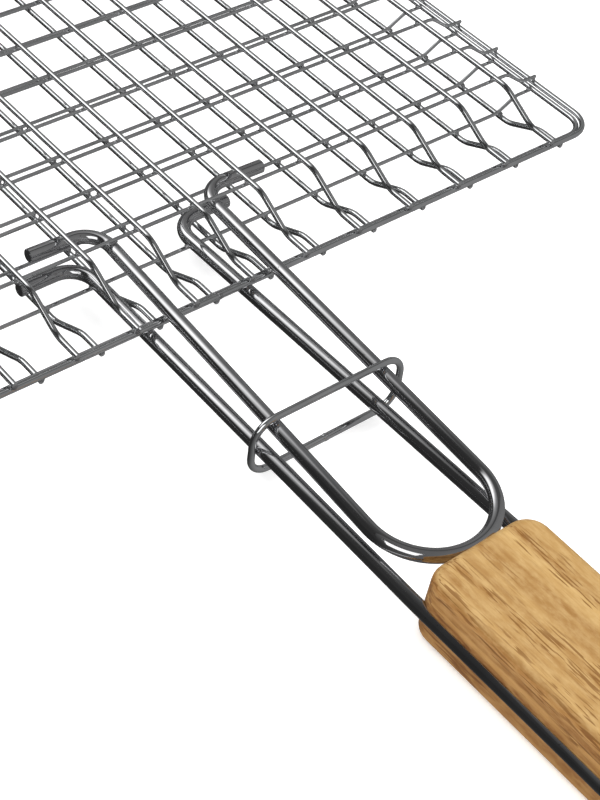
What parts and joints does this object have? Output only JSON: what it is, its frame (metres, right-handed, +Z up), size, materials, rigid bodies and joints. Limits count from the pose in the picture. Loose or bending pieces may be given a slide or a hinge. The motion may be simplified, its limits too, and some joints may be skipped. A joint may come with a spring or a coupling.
{
  "type": "grill basket",
  "caption": "Flat hinged wire grill basket for fish or meat, two welded grids on rod handle loops with a sliding lock ring and a wooden grip.",
  "frame": {"origin": "middle of the closed basket's footprint, at its lowest point", "axes": "+Y runs from the grip to the basket's rear hinge, +X runs along the front frame wire, +Z goes up through the lid"},
  "size_m": [0.332, 0.5038, 0.03],
  "materials": {
    "wire_chrome": "bright chrome-plated drawn wire",
    "thick_chrome": "bright chrome-plated rod",
    "zinc_steel": "zinc-plated strip",
    "oiled_wood": "light honey-coloured wood, oiled, brown grain along the length"
  },
  "bodies": {
    "base": {"base_frame": "wire_chrome", "base_long_wire_01": "wire_chrome", "base_long_wire_02": "wire_chrome", "base_long_wire_03": "wire_chrome", "base_long_wire_04": "wire_chrome", "base_long_wire_05": "wire_chrome", "base_long_wire_06": "wire_chrome", "base_long_wire_07": "wire_chrome", "base_long_wire_08": "wire_chrome", "base_long_wire_09": "wire_chrome", "base_long_wire_10": "wire_chrome", "base_long_wire_11": "wire_chrome", "base_long_wire_12": "wire_chrome", "base_long_wire_13": "wire_chrome", "base_long_wire_14": "wire_chrome", "base_cross_wire_1": "wire_chrome", "base_cross_wire_2": "wire_chrome", "base_cross_wire_3": "wire_chrome", "base_cross_wire_4": "wire_chrome", "base_cross_wire_5": "wire_chrome", "base_cross_wire_6": "wire_chrome", "base_cross_wire_7": "wire_chrome", "base_cross_wire_8": "wire_chrome", "base_cross_wire_9": "wire_chrome", "base_handle_loop": "thick_chrome", "wooden_grip": "oiled_wood", "hinge_clip_left": "zinc_steel", "hinge_clip_right": "zinc_steel"},
    "lid": {"lid_frame": "wire_chrome", "lid_long_wire_01": "wire_chrome", "lid_long_wire_02": "wire_chrome", "lid_long_wire_03": "wire_chrome", "lid_long_wire_04": "wire_chrome", "lid_long_wire_05": "wire_chrome", "lid_long_wire_06": "wire_chrome", "lid_long_wire_07": "wire_chrome", "lid_long_wire_08": "wire_chrome", "lid_long_wire_09": "wire_chrome", "lid_long_wire_10": "wire_chrome", "lid_long_wire_11": "wire_chrome", "lid_long_wire_12": "wire_chrome", "lid_long_wire_13": "wire_chrome", "lid_long_wire_14": "wire_chrome", "lid_cross_wire_1": "wire_chrome", "lid_cross_wire_2": "wire_chrome", "lid_cross_wire_3": "wire_chrome", "lid_cross_wire_4": "wire_chrome", "lid_cross_wire_5": "wire_chrome", "lid_cross_wire_6": "wire_chrome", "lid_cross_wire_7": "wire_chrome", "lid_cross_wire_8": "wire_chrome", "lid_cross_wire_9": "wire_chrome", "lid_handle_loop": "thick_chrome"},
    "lock_ring": {"lock_ring": "wire_chrome"}
  },
  "joints": [
    {"name": "lid_hinge", "type": "hinge", "parent": "base", "child": "lid", "pos_m": [0, 0.24985, 0.01892], "axis": [-1, 0, 0], "range_deg": [0, 165]},
    {"name": "ring_slide", "type": "slide", "parent": "base", "child": "lock_ring", "axis": [-0.005, -0.999, -0.045], "range_m": [-0.042, 0.0655]}
  ]
}
